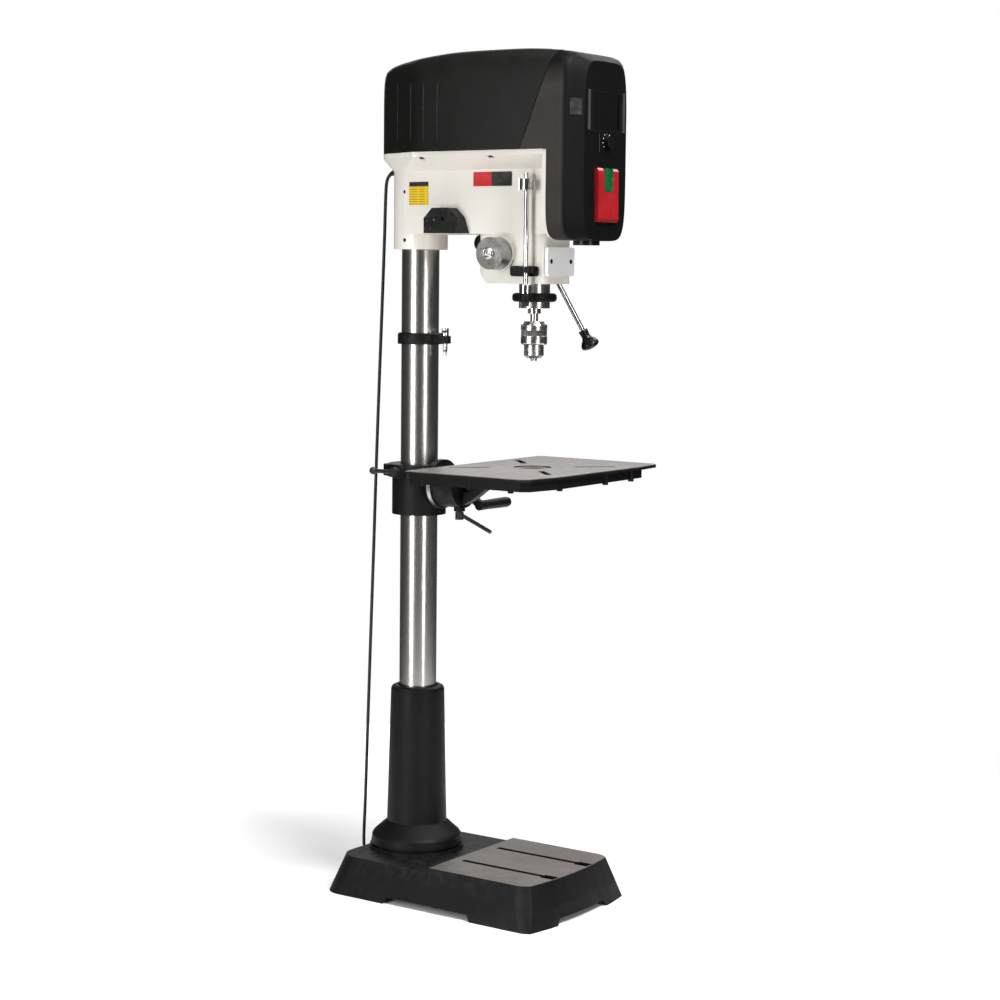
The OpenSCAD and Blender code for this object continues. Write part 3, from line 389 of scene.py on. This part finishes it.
SPECIAL = {
    "spring_cap": pitted("spring_cap_zinc", (0.27, 0.265, 0.255), (0.40, 0.39, 0.38), 0.28),
    "spring_cap_nut": polished("cap_nut_bright", (0.60, 0.59, 0.57), 0.16),
    "cover_latch": plastic("latch_plastic", (0.0050, 0.0048, 0.0047), (0.0070, 0.0067, 0.0065), 0.40,
                           700, 0.1, 0.2),
    "chuck_shell": knurled("chuck_knurl"),
    "chuck_body": polished("chuck_bright", (0.58, 0.57, 0.56), 0.26),
    "front_cover": front_plastic(),
    "front_plate": paint_cream("front_plate_paint", (0.86, 0.85, 0.86), (0.90, 0.89, 0.90)),
    "base_casting": cast_black("base_cast_and_ground", PAD_TOP),
    "table_top": cast_black("table_cast_and_ground", TABLE_TOP, (1, 14, 1), 0.40, (0, SP_Y, TABLE_HOLE_R)),
    "name_plate": printed("two_colour_plate", (0.012, 0.012, 0.013), (0.50, 0.012, 0.018), "Y", -0.065),
}


def paint(obj, slot):
    """Gives a piece the material of its record slot, or its own special material."""
    obj.data.materials.clear()
    obj.data.materials.append(SPECIAL.get(obj.name, M[slot]))


def soften(obj, width, angle=35, segments=2):
    """Rounds the sharp edges of a piece and shades it smooth between them."""
    for p in obj.data.polygons:
        p.use_smooth = True
    m = obj.modifiers.new("edge", "BEVEL")
    m.width = width
    m.segments = segments
    m.limit_method = "ANGLE"
    m.angle_limit = math.radians(angle)
    m.harden_normals = True
    m.use_clamp_overlap = True


for sub in frame["record"]["subparts"]:
    paint(nodes[sub["node"]], sub["material_slot"])

# ---------------------------------------------------------------- cord
CORD_D = 0.007
CORD_RUN = [
    (0, 82, 1538), (0, 88, 1532), (0, 92.5, 1522), (0, 94.5, 1505), (0, 96, 1470), (0, 98, 1400),
    (0, 103, 1270), (0, 110, 1100), (0, 117, 920), (0, 123, 740), (0, 131, 520), (0, 138, 320),
    (0, 144, 150), (0, 147, 85), (3, 148, 48), (12, 147, 22), (27, 142, 8), (44, 136, 3.5),
    (60, 132, 3.5)]
COIL = (70, 172)
CORD_TAIL = [(80, 132.8, 10.6), (91, 130.2, 12.3), (102, 129, 13)]


def ease(t, low, high):
    """Rises smoothly from 0 at low to 1 at high."""
    u = min(1, max(0, (t - low) / (high - low)))
    return u * u * (3 - 2 * u)


def cord_points():
    """The listed run, the coil on the floor, then the tail into the plug."""
    pts = [mm(*p) for p in CORD_RUN]
    turns, per = 3, 16
    for i in range(turns * per + 1):
        t = i / per
        a = math.radians(-90 + 360 * t)
        r = 42 - 7 * ease(t, 0.75, 1.25) + 3.5 * ease(t, 1.75, 2.25)
        z = 3.5 + 6.2 * ease(t, 1.75, 2.2)
        pts.append(mm(COIL[0] + r * math.cos(a), COIL[1] + r * math.sin(a), z))
    return pts + [mm(*p) for p in CORD_TAIL]


route = cord_points()
curve = bpy.data.curves.new("supply_cord", "CURVE")
curve.dimensions = "3D"
curve.bevel_depth = CORD_D / 2
curve.bevel_resolution = 4
curve.resolution_u = 6
curve.use_fill_caps = True
spline = curve.splines.new("BEZIER")
spline.bezier_points.add(len(route) - 1)
for i, p in enumerate(route):
    b = spline.bezier_points[i]
    prev, nxt = route[max(0, i - 1)], route[min(len(route) - 1, i + 1)]
    d = (nxt - prev).normalized()
    b.co = p
    b.handle_left = p - d * (p - prev).length / 3
    b.handle_right = p + d * (nxt - p).length / 3
supply = bpy.data.objects.new("supply_cord", curve)
bpy.context.scene.collection.objects.link(supply)
paint(supply, "rubber")
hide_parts("power_cord", "cord_coil")
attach(supply, "stand")


# ---------------------------------------------------------------- mesh helpers
def link_mesh(name, verts, faces, slot, body, smooth=True):
    me = bpy.data.meshes.new(name)
    me.from_pydata([Vector(v) for v in verts], [], faces)
    bm = bmesh.new()
    bm.from_mesh(me)
    bmesh.ops.remove_doubles(bm, verts=bm.verts, dist=0.00002)
    bmesh.ops.recalc_face_normals(bm, faces=bm.faces)
    bm.to_mesh(me)
    bm.free()
    for p in me.polygons:
        p.use_smooth = smooth
    obj = bpy.data.objects.new(name, me)
    bpy.context.scene.collection.objects.link(obj)
    if slot:
        paint(obj, slot)
        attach(obj, body)
    return obj


def block(lo, hi):
    """Corners and faces of a box, for cutting and for plain parts."""
    v = [mm(x, y, z) for x in (lo[0], hi[0]) for y in (lo[1], hi[1]) for z in (lo[2], hi[2])]
    f = [(0, 1, 3, 2), (4, 6, 7, 5), (0, 4, 5, 1), (2, 3, 7, 6), (0, 2, 6, 4), (1, 5, 7, 3)]
    return v, f


def curve_at(table, y):
    """Smooth value at y from (y, value) pairs that run down in y."""
    for i in range(len(table) - 1):
        (y0, v0), (y1, v1) = table[i], table[i + 1]
        if y0 >= y >= y1:
            t = (y0 - y) / (y0 - y1)
            ym, vm = table[max(0, i - 1)]
            yp, vp = table[min(len(table) - 1, i + 2)]
            m0 = 0.5 * ((v1 - v0) + (v0 - vm) * (y0 - y1) / max(1e-6, ym - y0)) if i else v1 - v0
            m1 = v1 - v0
            if i + 2 < len(table):
                m1 = 0.5 * (m1 + (vp - v1) * (y0 - y1) / max(1e-6, y1 - yp))
            return ((2 * t**3 - 3 * t * t + 1) * v0 + (t**3 - 2 * t * t + t) * m0
                    + (3 * t * t - 2 * t**3) * v1 + (t**3 - t * t) * m1)
    return table[-1][1]


def cut(obj, *cutters):
    """Takes the cutters out of obj for good."""
    for c in cutters:
        m = obj.modifiers.new("cut", "BOOLEAN")
        m.operation = "DIFFERENCE"
        m.solver = "MANIFOLD"
        m.object = c
    bpy.context.view_layer.update()
    done = bpy.data.meshes.new_from_object(obj.evaluated_get(bpy.context.evaluated_depsgraph_get()))
    obj.modifiers.clear()
    bm = bmesh.new()
    bm.from_mesh(done)
    bmesh.ops.triangulate(bm, faces=[f for f in bm.faces if len(f.verts) > 4])
    bm.to_mesh(done)
    bm.free()
    obj.data = done
    for c in cutters:
        bpy.data.objects.remove(c)


# ---------------------------------------------------------------- covers
JOINT_Z = 1577.1
SEAM = ((-331.0, JOINT_Z), (-404.0, 1757.0))
HEIGHTS = [(80, 1722), (76, 1737), (69, 1746), (47, 1754.5), (25, 1761), (-25, 1768), (-80, 1773.5),
           (-150, 1779), (-240, 1780), (-330, 1779), (-385, 1775), (-425, 1769), (-445, 1762), (-461, 1752)]
SHOULDER = [(0, 87), (-30, 99), (-62, 111), (-90, 115), (-430, 115)]
CHEEK = [(-430, 115), (-436, 113.4), (-440, 109.6), (-461, 78)]
RISE = [0, 0.1, 0.2, 0.3, 0.4, 0.5, 0.6, 0.68, 0.76, 0.83, 0.89, 0.935, 0.966, 0.985, 0.995]
SPAN = [0.72, 0.62, 0.5, 0.36, 0.2, 0.0]


def half_width(y):
    """Half of the cover's width at y."""
    if y > 25:
        return math.sqrt(max(0.0, 80 * 80 - y * y))
    if y > 0:
        return 76 + (87 - 76) * (25 - y) / 25
    if y > -430:
        return curve_at(SHOULDER, y)
    for (y0, w0), (y1, w1) in zip(CHEEK, CHEEK[1:]):
        if y0 >= y >= y1:
            return w0 + (w1 - w0) * (y0 - y) / (y0 - y1)
    return 78


def section(y, bottom):
    """Outline of the cover across X at y: left bottom, over the top, right bottom."""
    w, h = half_width(y), curve_at(HEIGHTS, y)
    n = 8 if y > -425 else 8 - 2.5 * (-425 - y) / 36
    left = [(-w * (1 - r**n) ** (1 / n), JOINT_Z + (h - JOINT_Z) * r) for r in RISE]
    left += [(-w * x, JOINT_Z + (h - JOINT_Z) * (1 - x**n) ** (1 / n)) for x in SPAN]
    ring = left + [(-x, z) for x, z in reversed(left[:-1])]
    if bottom:
        depth = JOINT_Z - 1397
        low = [(w * (1 - r**n) ** (1 / n), JOINT_Z - depth * r) for r in RISE[1:]]
        low += [(w * x, JOINT_Z - depth * (1 - x**n) ** (1 / n)) for x in SPAN]
        ring += low + [(-x, z) for x, z in reversed(low[:-1])]
    return [mm(x, y, z) for x, z in ring]


def loft(rings, closed, cap=False):
    """Corners and faces of a skin over rings of equal length."""
    verts = [v for r in rings for v in r]
    n = len(rings[0])
    faces = []
    for i in range(len(rings) - 1):
        for k in range(n if closed else n - 1):
            a, b = i * n + k, i * n + (k + 1) % n
            faces.append((a, b, b + n, a + n))
    if cap:
        faces.append(tuple(range((len(rings) - 1) * n, len(rings) * n)))
    return verts, faces


def halve(obj, keep_front):
    """Keeps what lies on one side of the sloping joint, SEAM_GAP short of it."""
    (y0, z0), (y1, z1) = SEAM
    normal = Vector((0, z0 - z1, y1 - y0)).normalized()
    if normal.y > 0:
        normal = -normal
    off = normal * SEAM_GAP * (1 if keep_front else -1)
    bm = bmesh.new()
    bm.from_mesh(obj.data)
    bmesh.ops.bisect_plane(bm, geom=bm.verts[:] + bm.edges[:] + bm.faces[:], plane_co=mm(0, y0, z0) + off,
                           plane_no=normal, clear_inner=keep_front, clear_outer=not keep_front)
    bm.to_mesh(obj.data)
    bm.free()


def wall(obj, thickness):
    m = obj.modifiers.new("wall", "SOLIDIFY")
    m.thickness = thickness
    m.offset = -1
    m.use_even_offset = False


REAR_Y = [79.95, 79.6, 79.2, 78, 76, 73, 69, 64, 58, 50, 41, 31, 25, 18, 9, 0, -15, -30, -45, -60, -75, -90]
LONG_Y = list(range(-110, -390, -20)) + [-395.1]
NOSE_Y = [-395.1, -402, -410, -418, -424, -430, -432, -434, -436, -438, -440, -444, -450, -456, -459.4, -461]

rear_v, rear_f = loft([section(y, False) for y in REAR_Y + LONG_Y + [-410, -425]], False)
last = len(section(0, False)) - 1
rear_f += [(k + 1, k, last - k, last - k - 1) for k in range(last // 2 - 1)]
rear_f.append((last // 2, last // 2 - 1, last // 2 + 1))
rear = link_mesh("rear_cover", rear_v, rear_f, None, None)
halve(rear, False)
wall(rear, WALL)
cut(rear)
top_v, top_f = loft([section(y, False) for y in (-310, -325, -340, -360, -380, -395.1)], False)
low_v, low_f = loft([section(y, True) for y in NOSE_Y], True, True)
low_f = [tuple(i + len(top_v) for i in f) for f in low_f]
front = link_mesh("front_cover", top_v + low_v, top_f + low_f, None, None)
join = bmesh.new()                  # welds the two lofts where their rings meet
join.from_mesh(front.data)
bmesh.ops.remove_doubles(join, verts=join.verts[:], dist=0.00005)
join.to_mesh(front.data)
join.free()
halve(front, True)
wall(front, WALL)


def cutter(lo, hi):
    return link_mesh("cutter", *block(lo, hi), None, None)


cut(front, cutter((-68, -480, 1614), (68, -448, 1694)), cutter((-41, -480, 1429), (41, -440, 1546)))
for obj, node in ((rear, "cover_rear"), (front, "cover_front")):
    soften(obj, 0.0012, angle=28)
    paint(obj, "black_plastic")
    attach(obj, "stand")
    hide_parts(node)

# thin upright ribs near the rear corners: y, lower and upper end
RIBS = [(-4, 1600, 1721), (-52.5, 1599, 1717), (-90, 1598, 1714), (-127, 1597, 1712)]
for side in (-1, 1):
    for k, (ry, low, high) in enumerate(RIBS):
        w0, w1 = half_width(ry + 4), half_width(ry - 4)
        along = Vector((side * (w1 - w0), -8, 0)).normalized()
        out = Vector((side * 8, w1 - w0, 0)).normalized()
        prof = [(-2.3, -0.6), (-1.3, 1.5), (1.3, 1.5), (2.3, -0.6)]
        rings = []
        for z, grow in ((low, 0.2), (low + 3, 1), (high - 3, 1), (high, 0.2)):
            c = Vector((side * half_width(ry), ry, z))
            rings.append([mm(*(c + along * a + out * (b * grow if b > 0 else b))) for a, b in prof])
        v, f = loft(rings, True)
        f += [(0, 1, 2, 3), tuple(len(v) - 4 + i for i in range(4))]
        link_mesh("cover_rib_%s_%d" % ("left" if side < 0 else "right", k), v, f, "black_plastic", "stand")


# ---------------------------------------------------------------- small parts
def revolve(profile, steps=64):
    """Rings of a turned part about Z from (radius, height) pairs, in millimetres."""
    return [[Vector((r * math.cos(2 * math.pi * k / steps), r * math.sin(2 * math.pi * k / steps), z))
             for k in range(steps)] for r, z in profile]


def turned_part(name, profile, at, slot, body, turn=Matrix.Identity(3), flutes=0, depth=0.0,
                between=(0, 0), steps=64):
    """A turned piece, with flutes cut to depth between two of its heights."""
    rings = revolve(profile, steps if not flutes else flutes * 4)
    if flutes:
        for ring in rings:
            if between[0] <= ring[0].z <= between[1]:
                for k, v in enumerate(ring):
                    if k % 4 in (2, 3):
                        keep = 1 - depth / max(1, v.xy.length)
                        v.x, v.y = v.x * keep, v.y * keep
    rings = [[mm(*(turn @ v + Vector(at))) for v in r] for r in rings]
    verts, faces = loft(rings, True)
    return link_mesh(name, verts, faces, slot, body, smooth=not flutes)


# knurled stop nut with its chamfers
nut = turned_part("depth_stop_nut",
                  [(5.2, 0), (15, 0), (16.3, 1.4), (16.3, 22.6), (15, 24), (5.2, 24), (5.2, 0)],
                  (ROD_X, ROD_Y, 1496), "chrome", "depth_stop", flutes=30, depth=1.1, between=(1, 23))
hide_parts("depth_nut")

# stepped nut on the spring cap
ring_nut = turned_part("spring_cap_nut",
                       [(6.1, 0), (12.5, 0), (12.5, 5), (11.5, 6.5), (9.6, 6.5), (9.6, 13), (8.8, 14.2),
                        (7.6, 14.2), (7.0, 12.6), (4.6, 12.6), (4.0, 14.8), (0.3, 15)],
                       (-99.5, FEED_Y, FEED_Z), "bright_steel", "feed",
                       Matrix.Rotation(-math.pi / 2, 3, "Y"), steps=48)
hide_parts("cap_nut")

# rounded clamp on the quill, with the lug that holds the depth rod
clamp = turned_part("quill_clamp",
                    [(QUILL_R, 0), (39, 0), (42.5, 0.8), (44.9, 2.8), (46, 6), (46, 12), (44.9, 15.2),
                     (42.5, 17.2), (39, 18), (QUILL_R, 18), (QUILL_R, 0)],
                    (0, SPINDLE_Y, CLAMP_Z), "black_casting", "quill", steps=96)
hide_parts("quill_collar")
turned_part("depth_lug",
            [(5.1, 0), (9.5, 0), (12, 1.4), (13, 4), (13, 14), (12, 16.6), (9.5, 18), (5.1, 18), (5.1, 0)],
            (ROD_X, ROD_Y, CLAMP_Z), "black_casting", "quill", steps=48)
reach, swing = math.hypot(ROD_X, ROD_Y - SPINDLE_Y), math.atan2(ROD_Y - SPINDLE_Y, ROD_X)
arm_v = [mm(math.cos(swing) * a - math.sin(swing) * b,
            SPINDLE_Y + math.sin(swing) * a + math.cos(swing) * b, z)
         for a in (40, reach - 9) for b in (-9, 9) for z in (CLAMP_Z + 2.5, CLAMP_Z + 15.5)]
box_faces = block((0, 0, 0), (1, 1, 1))[1]
arm = link_mesh("depth_arm", arm_v, box_faces, "black_casting", "quill", False)
soften(arm, 0.002, segments=3)

# chuck sleeve with its toothed band
shell = turned_part("chuck_shell",
                    [(22.06, 0), (24.6, 0), (26.8, 2.2), (27.3, 3.2), (27.3, 17.6), (26.7, 18.2),
                     (26.7, 29.6), (27.3, 30.2), (27.3, 39.4), (26.3, 41.6), (22.06, 41.6), (22.06, 0)],
                    (0, SPINDLE_Y, 1184), "chrome", "sleeve", flutes=44, depth=0.7, between=(18, 30))
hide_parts("chuck_sleeve")

# plain sticker on the side, without words
v, f = block((-60.5, -64, 1470), (-60.08, -14, 1518))
link_mesh("side_sticker", v, f, "yellow_label", "stand", False)

# rails of the display, rule beside the dial
for name, lo, hi in (("display_rail_left", (-67.5, -464, 1614.5), (-61, -459.5, 1693.5)),
                     ("display_rail_right", (61, -464, 1614.5), (67.5, -459.5, 1693.5)),
                     ("dial_rule", (-23.2, -461.6, 1572), (-21.8, -460.6, 1610))):
    rail = link_mesh(name, *block(lo, hi), "satin_grey", "stand", False)
    soften(rail, 0.0004)

# marks round the dial
for k in range(9):
    a = math.radians(-130 + 32.5 * k)
    c = Vector((6 + 15.5 * math.sin(a), -461.25, 1594 + 15.5 * math.cos(a)))
    d = Vector((math.sin(a), 0, math.cos(a)))
    n = Vector((math.cos(a), 0, -math.sin(a)))
    corners = [c + d * u + n * v for u, v in ((-1.6, -0.45), (1.6, -0.45), (1.6, 0.45), (-1.6, 0.45))]
    v = [mm(*(p + Vector((0, dy, 0)))) for dy in (0.25, -0.05) for p in corners]
    link_mesh("dial_mark_%d" % k, v, [(0, 1, 2, 3), (4, 5, 6, 7), (0, 1, 5, 4), (1, 2, 6, 5), (2, 3, 7, 6),
                                      (3, 0, 4, 7)], "cream_paint", "stand", False)

# ---------------------------------------------------------------- CAD nodes with softened edges
for name, width in {
    "base_casting": 0.004, "column_foot": 0.0025, "rack_collar": 0.001, "table_bracket": 0.003,
    "column_lock": 0.0008, "crank_arm": 0.002, "tilt_lock": 0.0008, "table_arm": 0.003, "table_top": 0.0012,
    "head_casting": 0.0035, "control_panel": 0.0012,
    "speed_dial": 0.0008, "switch_housing": 0.0012, "start_button": 0.0015, "stop_paddle": 0.002,
    "work_lamp": 0.0008, "front_plate": 0.0015, "tool_holder": 0.002, "spring_cap": 0.0015,
    "feed_shaft": 0.0006, "feed_hub": 0.0012, "handle_rods": 0.0005, "handle_knobs": 0.001,
    "depth_rod": 0.0006, "depth_bracket": 0.001,
    "chuck_body": 0.0006, "plug": 0.0015, "cord_gland": 0.0008, "chuck_key": 0.0006,
    "cover_latch": 0.001, "column_tube": 0.0008, "crank_grip": 0.001, "quill": 0.0005, "spindle": 0.0006,
}.items():
    soften(nodes[name], width)

# ---------------------------------------------------------------- floor and light
floor_mesh = bpy.data.meshes.new("floor")
FLOOR_R, SIDES = 1.8, 128
turns = [2 * math.pi * k / SIDES for k in range(SIDES)]
floor_mesh.from_pydata([(FLOOR_R * math.cos(a), FLOOR_R * math.sin(a), 0) for a in turns], [],
                       [tuple(range(SIDES))])
floor = bpy.data.objects.new("floor", floor_mesh)
bpy.context.scene.collection.objects.link(floor)
fs = Shader("floor_white")
floor_glow_reach = fs.new("ShaderNodeVectorMath", operation="LENGTH")
fs.link(fs.coord, floor_glow_reach.inputs[0])
# The floor is given a painted glow. It rises from almost none within half a metre of the centre to half
# strength at 1.6 m, so the floor reads white away from the object.
fs.set(color=fs.ramp(fs.noise(0.6, 2), [(0.3, 0.80), (0.7, 0.82)]), rough=0.9, spec=0.05, emit=(1, 1, 1),
       power=fs.span(floor_glow_reach.outputs["Value"], 0.03, 0.5, 0.5, 1.6))
floor_mesh.materials.append(fs.mat)

# white to the camera, dim to the object, a little brighter from one side
world = bpy.data.worlds.new("studio")
world.use_nodes = True
wt = world.node_tree
wc = wt.nodes.new("ShaderNodeTexCoord")
dot = wt.nodes.new("ShaderNodeVectorMath")
dot.operation = "DOT_PRODUCT"
dot.inputs[1].default_value = (0.816, 0.569, 0.0)
glow = wt.nodes.new("ShaderNodeMapRange")
glow.interpolation_type = "SMOOTHSTEP"
for k, v in (("From Min", 0.90), ("From Max", 0.99), ("To Min", 0.06), ("To Max", 0.22)):
    glow.inputs[k].default_value = v
seen = wt.nodes.new("ShaderNodeLightPath")
level = wt.nodes.new("ShaderNodeMix")
level.inputs["B"].default_value = 1.0
wt.links.new(wc.outputs["Generated"], dot.inputs[0])
wt.links.new(dot.outputs["Value"], glow.inputs["Value"])
wt.links.new(glow.outputs["Result"], level.inputs["A"])
wt.links.new(seen.outputs["Is Camera Ray"], level.inputs["Factor"])
wt.links.new(level.outputs["Result"], wt.nodes["Background"].inputs["Strength"])
wt.nodes["Background"].inputs["Color"].default_value = (1, 1, 1, 1)
bpy.context.scene.world = world
bpy.context.scene.view_settings.view_transform = "Standard"


def softbox(name, at, to, size, watts):
    light = bpy.data.lights.new(name, "AREA")
    light.shape = "RECTANGLE"
    light.size, light.size_y = size
    light.energy = watts
    obj = bpy.data.objects.new(name, light)
    obj.location = at
    obj.rotation_euler = (Vector(to) - Vector(at)).to_track_quat("-Z", "Y").to_euler()
    bpy.context.scene.collection.objects.link(obj)


softbox("left_strip", (-3.45, 0.50, 1.3), (0, 0, 1.15), (0.8, 2.8), 94)
softbox("right_strip", (-1.25, -3.40, 1.3), (0, 0, 1.15), (0.5, 2.8), 50)
softbox("front_high", (-0.5, -2.4, 4.0), (0, -0.2, 1.0), (1.6, 1.6), 235)
softbox("side_high", (2.7, -0.4, 3.9), (0, 0, 1.0), (1.8, 1.8), 60)
softbox("top", (-1.0, -0.6, 4.4), (0, 0, 0.6), (2.2, 2.2), 74)
softbox("back", (3.3, 2.5, 2.9), (0, 0, 1.0), (2.6, 1.6), 40)
